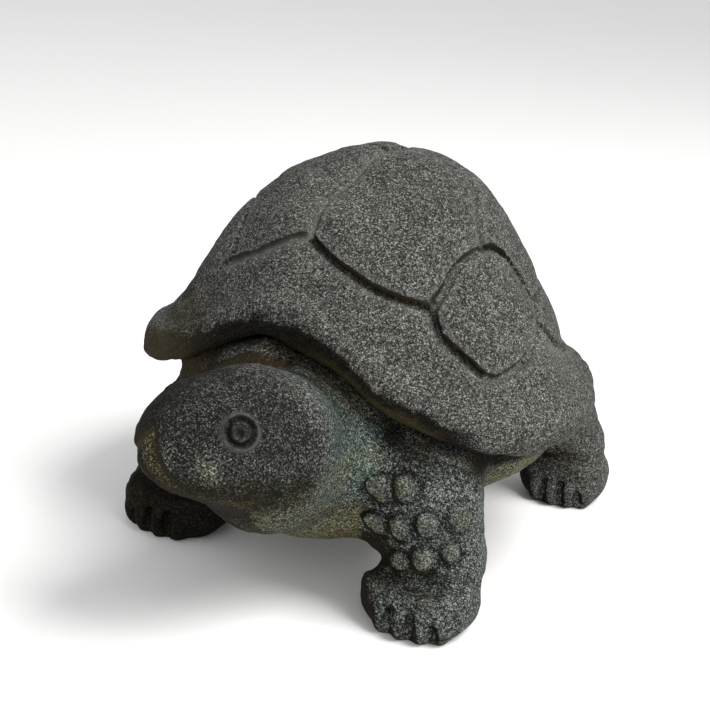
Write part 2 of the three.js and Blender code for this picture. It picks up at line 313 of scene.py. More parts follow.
@dataclass
class Shell:
    """The domed shell with its waved, thick brim and the seams between its plates."""

    half_width: float = 96.0
    front: float = 76.0
    rear: float = 96.0
    front_squareness: float = 2.7
    rear_squareness: float = 2.08
    taper: float = 0.068
    dome: tuple[Spot, ...] = (
        (0.0, 166.6), (0.2, 164.2), (0.4, 153.5), (0.56, 135.0),
        (0.7, 114.5), (0.8, 97.0), (0.87, 85.5), (0.93, 79.0),
    )
    lip_share: float = 0.935
    lip_overhang: float = 0.065
    lip_height: float = 69.5
    lip_half_thickness: float = 9.5
    lip_angles: Spot = (0.5 * math.pi, -0.65 * math.pi)
    lip_corners: int = 15
    underside_share: float = 0.7
    underside_height: float = 60.0
    neck_arch: float = 35.0
    arch_centre: float = -12.0
    arch_left_width: float = 56.0
    arch_right_width: float = 42.0
    front_rise: float = 4.0
    front_softness: float = 12.0
    side_rise: float = 1.5
    side_width: float = 45.0
    side_room: float = 70.0
    tail_arch: float = 6.0
    tail_width: float = 40.0
    lift_shares: Spot = (0.3, 0.9)
    lobe_trim: float = 10.5
    lobe_room: float = 6.0
    lobe_across: Spot = (35.0, 75.0)
    lobe_along: Spot = (-25.0, 20.0)
    lobe_fillet: float = 4.0
    seam_depth: float = 2.2
    seam_width: float = 1.15
    pillow_depth: float = 1.1
    pillow_width: float = 6.0
    ridge_top: Spot = (-2.0, -4.0)
    ridge_front: Spot = (-8.0, -60.0)
    ridge_back: Spot = (0.0, 66.0)
    grid: Array = field(init=False, repr=False)
    grid_step: float = 0.75
    grid_low: Spot = (-6.0, 30.0)
    grid_high: Spot = (126.0, 200.0)
    probe: float = 0.6
    slope_limits: Spot = (0.55, 2.0)

    def __post_init__(self) -> None:
        """Samples the distance to the shell's turned outline once."""
        half = self.outline() * [self.half_width, 1.0]
        whole = np.vstack([half, half[-2:0:-1] * [-1.0, 1.0]])
        ends = zip(self.grid_low, self.grid_high)
        across, upward = (np.arange(low, high, self.grid_step) for low, high in ends)
        places = np.stack(np.meshgrid(across, upward, indexing="ij"), axis=-1).reshape(-1, 2)
        closed = np.vstack([whole, whole[:1]])
        nearest = line_distance(places, closed, math.inf)
        inside = np.zeros(len(places), dtype=bool)
        for start, end in zip(whole, closed[1:]):
            way = end - start
            spans = (start[1] <= places[:, 1]) != (end[1] <= places[:, 1])
            rise = way[1] if abs(way[1]) > 1e-9 else 1e-9
            inside ^= spans & (places[:, 0] < start[0] + (places[:, 1] - start[1]) / rise * way[0])
        self.grid = np.where(inside, -nearest, nearest).reshape(len(across), len(upward))

    def outline(self) -> Array:
        """Draws one half of the shell's section.

        Returns:
            Its corners, from the top over the dome, round the lip and in to the middle.
        """
        dome = smooth_curve([(share * self.half_width, z) for share, z in self.dome], 3.0)
        dome[:, 0] /= self.half_width
        angles = np.linspace(*self.lip_angles, self.lip_corners)
        lip = np.stack([
            self.lip_share + self.lip_overhang * np.cos(angles),
            self.lip_height + self.lip_half_thickness * np.sin(angles),
        ], axis=1)
        underside = [[self.underside_share, self.underside_height], [0.0, self.underside_height]]
        return np.vstack([dome[:-1], lip, underside])

    def share(self, x: Array, y: Array) -> Array:
        """Gives how far out a plan point lies.

        Args:
            x: Place to the left.
            y: Place to the rear.

        Returns:
            The share of the way from the middle to the brim's edge.
        """
        away = np.hypot(x, y) + 1e-9
        ahead = y < 0
        reach = np.where(ahead, self.front, self.rear)
        power = np.where(ahead, self.front_squareness, self.rear_squareness)
        across, along = np.abs(x) / away / self.half_width, np.abs(y) / away / reach
        radius = (across**power + along**power) ** (-1.0 / power)
        return away / (radius * (1.0 - self.taper * y / away))

    def lift(self, x: Array, y: Array, share: Array) -> Array:
        """Gives the wave of the brim.

        Args:
            x: Place to the left.
            y: Place to the rear.
            share: Share of the way out to the brim.

        Returns:
            How far each point is lifted.
        """
        ahead = 1.0 / (1.0 + np.exp(y / self.front_softness))
        width = np.where(x > self.arch_centre, self.arch_left_width, self.arch_right_width)
        neck = self.neck_arch * fade(x - self.arch_centre, width) * ahead
        side = self.side_rise * fade(y, self.side_width) * (1.0 - fade(x, self.side_room, 4.0))
        tail = self.tail_arch * fade(x, self.tail_width) * (1.0 - ahead)
        return ramp(share, *self.lift_shares) * (neck + side + tail + self.front_rise * ahead)

    def on_dome(self, plan: Array) -> Array:
        """Lays plan points on the dome.

        Args:
            plan: Points to the left and to the rear.

        Returns:
            The points on the dome's surface.
        """
        x, y = plan.T
        share = self.share(x, y)
        curve = smooth_curve([(s * self.half_width, z) for s, z in self.dome], 1.0)
        height = np.interp(share * self.half_width, curve[:, 0], curve[:, 1])
        return np.stack([x, y, height + self.lift(x, y, share)], axis=1)

    def raw(self, points: Array) -> Array:
        """Looks the distance up in the grid of the section, stretched as the plan is.

        Args:
            points: The points.

        Returns:
            Rough distances, negative inside.
        """
        x, y = points[:, 0], points[:, 1]
        share = self.share(x, y)
        level = points[:, 2] - self.lift(x, y, share)
        places = [share * self.half_width, level]
        cells, rests = [], []
        for axis, place in enumerate(places):
            cell = np.clip((place - self.grid_low[axis]) / self.grid_step, 0, self.grid.shape[axis] - 1.001)
            cells.append(cell.astype(int))
            rests.append(cell - cell.astype(int))
        (i, j), (u, v) = cells, rests
        near = self.grid[i, j] * (1 - u) + self.grid[i + 1, j] * u
        far = self.grid[i, j + 1] * (1 - u) + self.grid[i + 1, j + 1] * u
        return near * (1 - v) + far * v

    def distance(self, points: Array) -> Array:
        """Measures points from the uncut shell.

        Args:
            points: The points.

        Returns:
            Distances, negative inside.
        """
        here = self.raw(points)
        slope = np.stack([self.raw(points + self.probe * axis) - here for axis in np.eye(3)], axis=1)
        return self.trimmed(here / np.clip(length(slope) / self.probe, *self.slope_limits), points)

    def trimmed(self, distance: Array, points: Array) -> Array:
        """Thins the brim from below at the right front lobe.

        Args:
            distance: Distances to the whole shell.
            points: The points they belong to.

        Returns:
            Distances to the thinned shell.
        """
        x, y = points[:, 0], points[:, 1]
        floor = self.lip_height - self.lip_half_thickness - self.lobe_room
        floor = floor + self.lobe_trim * ramp(-x, *self.lobe_across) * fall(y, *self.lobe_along)
        floor = floor + self.lift(x, y, self.share(x, y))
        return -merge(-distance, points[:, 2] - floor, self.lobe_fillet)

    def plans(self) -> list[tuple[float, list[Spot]]]:
        """Returns the seams of the ridge and of the rounded plates on each side.

        Returns:
            Each seam's painted shade, which is below 0 for a painted highlight along it, and its points in
            plan.
        """
        top, front, back = self.ridge_top, self.ridge_front, self.ridge_back
        # The first number of each seam paints shade into grooves that face away from the light; below 0 it
        # paints a highlight where the seam catches the light.
        once = [
            (-1.0, [top, (-5, -24), (-9, -44), front]),
            (0.2, [top, (-2, 20), (-2, 40), back]),
            (1.0, [
                front, (-3, -62), (5, -63.5), (15.5, -63.5), (23, -62.6), (30, -60.8), (36, -58.6), (44, -55),
            ]),
            (-1.0, [front, (-13, -61), (-22, -62.6), (-32, -61.8), (-46, -57)]),
        ]
        sides = [
            (-0.4, [top, (10, 2), (23, 5), (34, 3), (41, -9), (47, -19), (51.5, -26)]),
            (-0.3, [(44, -55), (46, -48), (47.5, -39), (51.5, -26)]),
            (1.0, [(44, -55), (49, -57), (56, -55.5), (66, -52)]),
            (-0.5, [(66, -52), (71.5, -47), (76, -35), (76.5, -22), (73.5, -11), (69.5, -6.5)]),
            (1.0, [(51.5, -26), (54, -19), (58.5, -12.5), (64, -7.5), (69.5, -6.5)]),
            (0.3, [(69.5, -6.5), (67, 8), (58, 28)]),
            (0.2, [(73.5, -11), (78, 3), (78, 18), (71, 33)]),
            (0.3, [(58, 28), (64, 33), (71, 33)]),
            (0.3, [(58, 28), (52, 42), (42, 54)]),
            (0.4, [(71, 33), (66, 48), (54, 57), (42, 54)]),
            (0.4, [(42, 54), (28, 64), (14, 67), back]),
        ]
        mirrored = [
            (shade_paint / 2, [spot if spot in (top, back) else (-spot[0], spot[1]) for spot in plan])
            for shade_paint, plan in sides
        ]
        return [*once, *sides, *mirrored]

    def seams(self) -> list[tuple[float, Array]]:
        """Returns each seam's painted shade, negative for a painted highlight, and its line on the dome."""
        return [(shade_paint, self.on_dome(smooth_curve(plan, 3.0))) for shade_paint, plan in self.plans()]


# Head


@dataclass
class Head:
    """The egg-shaped head on its short neck, with ringed eyes and a closed beak."""

    skull: Egg = Egg((-2.0, -119.5, 76.0), (29.0, 37.5, 26.5), turn=-30.0, lower_height=21.0)
    neck: Limb = Limb((0.0, -48.0, 62.0), (2.0, -100.0, 62.5), 40.0, 28.0)
    nape: float = 18.0
    eye_turn: float = 69.0
    eye_rise: float = 0.53
    ring_radius: float = 6.1
    ring_height: float = 1.3
    ring_width: float = 0.9
    moat_radius: float = 5.0
    moat_depth: float = 1.0
    moat_width: float = 0.75
    ball_radius: float = 4.5
    ball_height: float = 1.4
    pupil_radius: float = 1.2
    pupil_depth: float = 1.2
    pupil_shift: Spot = (0.5, -0.6)
    eye_reach: float = 9.0
    # Painted shade in each eye: a crescent in the groove above and behind the eyeball, a faint share round
    # the rest of the groove, and the pupil.
    crescent_way: Spot = (0.75, 0.66)
    crescent_places: Spot = (-2.0, 4.5)
    even_groove_shade: float = 0.05
    groove_shade_width: float = 0.6
    pupil_shade: float = 0.9
    pupil_spread: float = 1.32
    mouth_turn: float = 76.0
    mouth_rise: float = 0.42
    mouth_droop: float = 1.0
    beak_turn: float = 26.0
    mouth_depth: float = 2.0
    mouth_width: float = 1.2
    mouth_reach: float = 8.0
    jaw_reach: float = 12.0
    jaw_drop: float = 3.6
    jaw_depth: float = 1.3

    def distance(self, points: Array) -> Array:
        """Returns the distance of each point to head and neck, negative inside."""
        return merge(self.skull.distance(points), self.neck.distance(points), self.nape)

    def eye_frame(self, points: Array, side: Side) -> tuple[Array, ...]:
        """Measures points from the middle of one eye.

        Args:
            points: Points near the surface.
            side: The eye's side of the head.

        Returns:
            The way of each point level with the head's surface and its length, which points are near the
            surface, and the directions on the surface that lead sideward and upward.
        """
        centre, out = self.skull.surface(side.value * self.eye_turn, self.eye_rise)
        sideward = np.cross(out, UP)
        sideward /= length(sideward)
        deep = (points - centre) @ out
        level = points - centre - deep[:, None] * out
        return level, length(level), np.abs(deep) < self.eye_reach, sideward, np.cross(sideward, out)

    def eye_distance(self, points: Array, side: Side) -> Array:
        """Returns the distance of each point to the middle of one eye."""
        return length(points - self.skull.surface(side.value * self.eye_turn, self.eye_rise)[0])

    def eye_relief(self, points: Array, side: Side) -> Array:
        """Gives how far one eye stands out.

        Args:
            points: Points near the surface.
            side: The eye's side of the head.

        Returns:
            The height of the carving, negative where it is cut in.
        """
        level, flat, here, sideward, upward = self.eye_frame(points, side)
        ring = self.ring_height * fade(flat - self.ring_radius, self.ring_width)
        moat = self.moat_depth * fade(flat - self.moat_radius, self.moat_width)
        ball = self.ball_height * np.sqrt(np.clip(1.0 - (flat / self.ball_radius) ** 2, 0.0, 1.0))
        pupil_centre = self.pupil_shift[0] * sideward + self.pupil_shift[1] * upward
        pupil = self.pupil_depth * fade(length(level - pupil_centre), self.pupil_radius, 3.0)
        return np.where(here, ring - moat + ball - pupil, 0.0)

    def eye_shade(self, points: Array, side: Side) -> Array:
        """Gives how much painted shade lies in one eye's groove and pupil.

        Args:
            points: Points on the surface.
            side: The eye's side of the head.

        Returns:
            A share for each point, largest above and behind the eyeball.
        """
        level, flat, here, sideward, _ = self.eye_frame(points, side)
        ahead = sideward * side.value
        darkest = self.crescent_way[0] * np.array(UP) - self.crescent_way[1] * ahead
        crescent = (1.0 - self.even_groove_shade) * ramp(level @ darkest, *self.crescent_places)
        groove = fade(flat - self.moat_radius, self.groove_shade_width) * (self.even_groove_shade + crescent)
        return np.maximum(groove, self.pupil_shade * fade(flat, self.pupil_spread)) * here

    def mouth_line(self) -> Array:
        """Draws the line of the closed beak.

        Returns:
            Its points, from the right to the left.
        """
        turns = np.linspace(-self.mouth_turn, self.mouth_turn, 41)
        rises = self.mouth_rise - self.mouth_droop * (1.0 - fade(turns, self.beak_turn))
        return np.array([self.skull.surface(turn, rise)[0] for turn, rise in zip(turns, rises)])

    def mouth_distance(self, points: Array, drop: float, reach: float) -> Array:
        """Returns the distance, up to a reach, of each point to the line of the beak or to one below it."""
        return line_distance(points, self.mouth_line() - drop * np.array(UP), reach)

    def relief(self, points: Array) -> Array:
        """Adds up the carving of the head.

        Args:
            points: The points.

        Returns:
            Heights, negative where it is cut in.
        """
        eyes = self.eye_relief(points, Side.LEFT) + self.eye_relief(points, Side.RIGHT)
        mouth = fade(self.mouth_distance(points, 0.0, self.mouth_reach), self.mouth_width)
        jaw = fade(self.mouth_distance(points, self.jaw_drop, self.jaw_reach), self.jaw_drop)
        return eyes - self.mouth_depth * mouth - self.jaw_depth * jaw


# Legs


@dataclass(frozen=True)
class Scale:
    """One raised, slightly long scale on a leg."""

    centre: Array
    out: Array
    axis: Array
    radius: float
    stretch: float
    strength: float
    moat_width: float = 1.3
    moat_place: float = 1.1
    roundness: float = 0.55
    reach: float = 7.0
    far: float = 9.0

    def flat(self, points: Array) -> Array:
        """Measures points along the skin from the scale's middle.

        Args:
            points: The points.

        Returns:
            Distances as shares of the scale's radius.
        """
        local = points - self.centre
        deep = local @ self.out
        along = local @ self.axis
        across = sideways(length(local - deep[:, None] * self.out), along)
        flat = np.hypot(across, along / self.stretch) / self.radius
        return np.where(np.abs(deep) < self.reach, flat, self.far)

    def dome(self, points: Array) -> Array:
        """Returns the height of the scale, from 0 to 1."""
        return self.strength * np.clip(1.0 - self.flat(points) ** 2, 0.0, 1.0) ** self.roundness

    def moat(self, points: Array) -> Array:
        """Returns the depth of the groove round the scale, from 0 to 1."""
        return self.strength * fade((self.flat(points) - self.moat_place) * self.radius, self.moat_width)


ScalePart = Callable[[Scale, Array], Array]


@dataclass
class Leg:
    """A thick leg on a broad foot with short toes."""

    foot: Spot
    hip: Place
    ankle: Place
    radii: Spot
    foot_radii: Place
    scale_rows: tuple[tuple[float, float, int, float], ...]
    seed: int
    toe_radii: Place = (5.6, 8.5, 8.0)
    toes: int = 4
    first_toe_turn: float = -24.0
    toe_step: float = 23.0
    toe_reach: float = 0.72
    toe_lift: float = 0.8
    toe_fillet: float = 2.2
    foot_lift: float = 0.82
    foot_squareness: float = 2.8
    ankle_fillet: float = 3.0
    scale_step: float = 27.0
    scale_radius: float = 4.9
    scale_length: float = 1.05
    scale_height: float = 2.3
    scale_moat: float = 0.6
    scatter: float = 1.5
    turn_scatter: float = 3.75
    size_scatter: float = 0.1
    crease_depth: float = 5.5
    crease_width: float = 2.8
    crease_side: Spot = (-0.55, -0.83)
    crease_ends: Spot = (-4.0, 12.0)
    notch_depth: float = 4.2
    notch_width: float = 1.7
    notch_reach: float = 7.0
    notch_low: Spot = (8.0, -5.0)
    notch_high: Spot = (4.0, 4.0)
    # Painted shade in the crease under the shin's overhang and in the notches between the toes.
    shade_spread: float = 1.6
    notch_shade: float = 0.7

    @property
    def side(self) -> int:
        """Returns the sign of X on the leg's side."""
        return 1 if self.foot[0] > 0 else -1

    def shaft(self) -> Limb:
        """Makes the leg without its foot.

        Returns:
            The limb from hip to ankle.
        """
        (x, y), side = self.foot, self.side
        hip = (side * self.hip[0], y + self.hip[1], self.hip[2])
        ankle = (x - side * self.ankle[0], y + self.ankle[1], self.ankle[2])
        return Limb(hip, ankle, *self.radii)

    def toe_places(self) -> list[tuple[Array, float]]:
        """Places the toes.

        Returns:
            The middle and the turn of each toe.
        """
        places = []
        for toe in range(self.toes):
            turn = self.side * (self.first_toe_turn + toe * self.toe_step)
            angle = math.radians(turn)
            x = self.foot[0] + self.foot_radii[0] * self.toe_reach * math.sin(angle)
            y = self.foot[1] - self.foot_radii[1] * self.toe_reach * math.cos(angle)
            places.append((np.array([x, y, self.toe_radii[2] * self.toe_lift]), turn))
        return places

    def foot_distance(self, points: Array) -> Array:
        """Measures points from the foot with its toes.

        Args:
            points: The points.

        Returns:
            Distances, negative inside.
        """
        centre = (*self.foot, self.foot_radii[2] * self.foot_lift)
        solid = Egg(centre, self.foot_radii, squareness=self.foot_squareness).distance(points)
        for place, turn in self.toe_places():
            toe = Egg(tuple(place), self.toe_radii, turn=turn)
            solid = merge(solid, toe.distance(points), self.toe_fillet)
        return solid

    def distance(self, points: Array) -> Array:
        """Measures points from leg and foot, with the crease between them.

        Args:
            points: The points.

        Returns:
            Distances, negative inside.
        """
        shaft, foot = self.shaft().distance(points), self.foot_distance(points)
        crease = self.crease_depth * fade(np.hypot(shaft, foot), self.crease_width)
        return merge(shaft, foot, self.ankle_fillet) + crease * self.ahead(points)

    def ahead(self, points: Array) -> Array:
        """Returns 1 where a point lies before the leg and on its inner side, and 0 behind it."""
        way = np.array([self.side * self.crease_side[0], self.crease_side[1]])
        return ramp((points[:, :2] - np.array(self.foot)) @ way, *self.crease_ends)

    def shade_paint(self, points: Array) -> Array:
        """Gives how much painted shade lies in the foot's crease under the shin and between its toes.

        Args:
            points: The points.

        Returns:
            A share for each point.
        """
        gap = np.hypot(self.shaft().distance(points), self.foot_distance(points))
        shade_paint = fade(gap, self.shade_spread * self.crease_width) * self.ahead(points)
        for line in self.toe_lines():
            notch = line_distance(points, line, self.notch_reach)
            shade_paint = np.maximum(shade_paint, self.notch_shade * fade(notch, self.shade_spread / 2 * self.notch_width))
        return shade_paint

    def toe_lines(self) -> list[Array]:
        """Draws the notches between the toes.

        Returns:
            Their lines, from low outside to high inside.
        """
        lines = []
        places = self.toe_places()
        for (one, turn_one), (two, turn_two) in zip(places, places[1:]):
            angle = math.radians((turn_one + turn_two) / 2)
            way = np.array([math.sin(angle), -math.cos(angle), 0.0])
            ends = [out * way + rise * np.array(UP) for out, rise in (self.notch_low, self.notch_high)]
            lines.append((one + two) / 2 + np.array(ends))
        return lines

    def scales(self) -> list[Scale]:
        """Sets the raised scales in their rows, each with its own size and slant.

        Returns:
            The scales.
        """
        shaft = self.shaft()
        draw = np.random.default_rng(self.seed)
        start, end = np.array(shaft.start), np.array(shaft.end)
        span = float(length(end - start))
        axis = (end - start) / span
        outward = np.array([self.side, 0.0, 0.0]) - axis * axis[0] * self.side
        outward /= length(outward)
        forward = np.cross(axis, outward) * self.side
        scales = []
        for row_along, first_turn, count, strength in self.scale_rows:
            for place in range(count):
                along = row_along + draw.normal() * self.scatter
                angle = math.radians(first_turn + self.scale_step * place + draw.normal() * self.turn_scatter)
                out = outward * math.cos(angle) + forward * math.sin(angle)
                past = max(-along, along - span, 0.0)
                share = min(max(along / span, 0.0), 1.0)
                radius = shaft.start_radius + (shaft.end_radius - shaft.start_radius) * share
                reach = math.sqrt(max(radius**2 - past**2, 1.0))
                tilt = (out * reach + axis * (along - min(max(along, 0.0), span))) / radius
                size = self.scale_radius * (1.0 + self.size_scatter * draw.normal())
                stretch = self.scale_length * (1.0 + self.size_scatter * draw.normal())
                centre = start + axis * along + out * reach
                scales.append(Scale(centre, tilt / length(tilt), axis, size, stretch, strength))
        return scales

    def most(self, part: ScalePart, points: Array) -> Array:
        """Returns the most that the dome or the moat of any scale gives at each point, from 0 to 1."""
        return np.max([part(scale, points) for scale in self.scales()], axis=0)

    def relief(self, points: Array) -> Array:
        """Adds up the carving of the leg.

        Args:
            points: The points.

        Returns:
            Heights, negative where it is cut in.
        """
        scale = self.most(Scale.dome, points)
        total = self.scale_height * scale - self.scale_moat * self.most(Scale.moat, points) * (1.0 - scale)
        for line in self.toe_lines():
            total -= self.notch_depth * fade(line_distance(points, line, self.notch_reach), self.notch_width)
        return total


# Rows of scales: how far down the leg, turn of the first towards the front, how many and how strong
FORE_SCALES = ((-6.5, 76.0, 2, 1.0), (7.5, 41.0, 4, 1.0), (24.0, 50.0, 3, 1.0), (37.0, 28.0, 3, 0.4))
HIND_SCALES = ((6.0, 18.0, 3, 0.5), (20.0, 4.0, 3, 0.5))


def fore_leg(foot: Spot, seed: int) -> Leg:
    """Makes a scaled fore leg.

    Args:
        foot: Plan place of its foot.
        seed: Seed for the scatter of its scales.

    Returns:
        The leg.
    """
    return Leg(
        foot, hip=(50.0, 12.0, 46.5), ankle=(0.3, 8.0, 24.5), radii=(26.3, 22.0),
        foot_radii=(23.0, 19.0, 13.6), scale_rows=FORE_SCALES, seed=seed,
    )


def hind_leg(foot: Spot, seed: int) -> Leg:
    """Makes a hind leg with a few low scales.

    Args:
        foot: Plan place of its foot.
        seed: Seed for the scatter of its scales.

    Returns:
        The leg.
    """
    return Leg(
        foot, hip=(54.0, -4.0, 50.0), ankle=(1.0, 2.0, 25.0), radii=(24.0, 18.0),
        foot_radii=(20.5, 17.5, 13.0), scale_rows=HIND_SCALES, seed=seed, crease_depth=3.0, notch_depth=2.4,
    )


# The whole figure


@dataclass
class Tortoise:
    """The whole carving as one field of distances."""

    shell: Shell = field(default_factory=Shell)
    head: Head = field(default_factory=Head)
    fore_legs: tuple[Leg, ...] = (fore_leg((58.5, -73.0), seed=11), fore_leg((-61.5, -54.5), seed=12))
    hind_legs: tuple[Leg, ...] = (hind_leg((69.5, 76.0), seed=13), hind_leg((-70.0, 73.0), seed=14))
    trunk: Egg = Egg((0.0, 4.0, 56.0), (80.0, 80.0, 34.0))
    chest: Egg = Egg((0.0, -52.0, 49.5), (50.0, 44.0, 33.0))
    tail: Limb = Limb((0.0, 62.0, 52.0), (4.0, 92.0, 36.0), 14.0, 5.5)
    collar: Limb = Limb((-53.0, -58.0, 76.0), (-14.0, -72.0, 90.0), 10.5, 11.5)
    chest_fillet: float = 10.0
    tail_fillet: float = 6.0
    head_fillet: float = 18.0
    collar_fillet: float = 3.0
    shoulder_fillet: float = 12.0
    brim_fillet: float = 1.5
    worn_arcs: float = 0.9
    worn_across: Spot = (42.0, 54.0)
    worn_along: Spot = (-42.0, -22.0)
    worn_plates: float = 0.6
    plates_across: Spot = (20.0, 50.0)
    shell_band: float = 12.0
    body_band: float = 8.0
    seam_reach: float = 22.0
    fine_seam: float = 3.2
    fine_eye: float = 10.5
    fine_mouth: float = 2.6
    fine_scale: float = 1.5
    fine_notch: float = 4.0
    # A painted highlight along the plate edges on both sides of each seam.
    rim_place: float = 3.0
    rim_width: float = 1.2
    rim_highlight: float = 0.3
    brim_groove: float = 2.6
    brim_groove_width: float = 3.0
    low: Place = (-104.0, -164.0, -6.0)
    high: Place = (104.0, 108.0, 176.0)

    def legs(self) -> tuple[Leg, ...]:
        """Returns all four legs."""
        return (*self.fore_legs, *self.hind_legs)

    def seam_distance(self, points: Array, reach: float) -> Array:
        """Returns the distance of each point to the nearest seam, at most the reach."""
        return np.min([line_distance(points, line, reach) for _, line in self.shell.seams()], axis=0)

    def wear_left(self, points: Array) -> Array:
        """Returns the share of the seams that is left, small at the right front where they are worn away."""
        front = fall(points[:, 1], *self.worn_along)
        return 1.0 - self.worn_arcs * ramp(-points[:, 0], *self.worn_across) * front

    def seam_shading(self, points: Array, width: float) -> Array:
        """Gives how much painted shade of the seams lies on the shell, with painted highlights beside them.

        Args:
            points: Points on the shell.
            width: Width of the painted shade in a seam.

        Returns:
            A share for each point, negative where a painted highlight lies instead.
        """
        total, rims = np.zeros(len(points)), np.zeros(len(points))
        depth = self.shell.distance(points)
        for shade_paint, line in self.shell.seams():
            along = sideways(line_distance(points, line, 6.0 * width), depth)
            here = shade_paint * fade(along, width)
            total = np.where(np.abs(here) > np.abs(total), here, total)
            rims = np.maximum(rims, self.rim_highlight * fade(along - self.rim_place, self.rim_width))
        return np.where(np.abs(total) > rims, total, -rims) * self.wear_left(points)

    def is_fine(self, points: Array) -> Array:
        """Finds where the carving is fine: at seams, eyes, beak, scales and toes.

        Args:
            points: The points.

        Returns:
            Whether each point lies there.
        """
        fine = self.seam_distance(points, 2 * self.fine_seam) < self.fine_seam
        fine |= self.head.mouth_distance(points, 0.0, self.head.mouth_reach) < self.fine_mouth
        for side in Side:
            fine |= self.head.eye_distance(points, side) < self.fine_eye
        for leg in self.legs():
            for scale in leg.scales():
                fine |= scale.flat(points) < self.fine_scale
            for line in leg.toe_lines():
                fine |= line_distance(points, line, 2 * self.fine_notch) < self.fine_notch
        return fine

    def trunk_distance(self, points: Array) -> Array:
        """Returns the distance of each point to trunk and chest, negative inside."""
        return merge(self.trunk.distance(points), self.chest.distance(points), self.chest_fillet)

    def distance(self, points: Array) -> Array:
        """Measures points from the finished carving.

        Args:
            points: The points.

        Returns:
            Distances, negative inside.
        """
        shell = self.shell.distance(points)
        near = np.flatnonzero(np.abs(shell) < self.shell_band)
        along = sideways(self.seam_distance(points[near], self.seam_reach), shell[near])
        cut = self.shell.seam_depth * fade(along, self.shell.seam_width) * self.wear_left(points[near])
        plates = 1.0 - self.worn_plates * ramp(-points[near, 0], *self.plates_across)
        shell[near] += cut + self.shell.pillow_depth * plates * fade(along, self.shell.pillow_width)
        body = merge(self.trunk_distance(points), self.tail.distance(points), self.tail_fillet)
        body = merge(body, self.head.distance(points), self.head_fillet)
        body = merge(body, self.collar.distance(points), self.collar_fillet)
        for leg in self.legs():
            body = merge(body, leg.distance(points), self.shoulder_fillet)
        near = np.flatnonzero(np.abs(body) < self.body_band)
        body[near] -= sum(part.relief(points[near]) for part in (self.head, *self.legs()))
        groove = self.brim_groove * fade(np.hypot(shell, body), self.brim_groove_width)
        return np.maximum(merge(shell, body, self.brim_fillet) + groove, -points[:, 2])
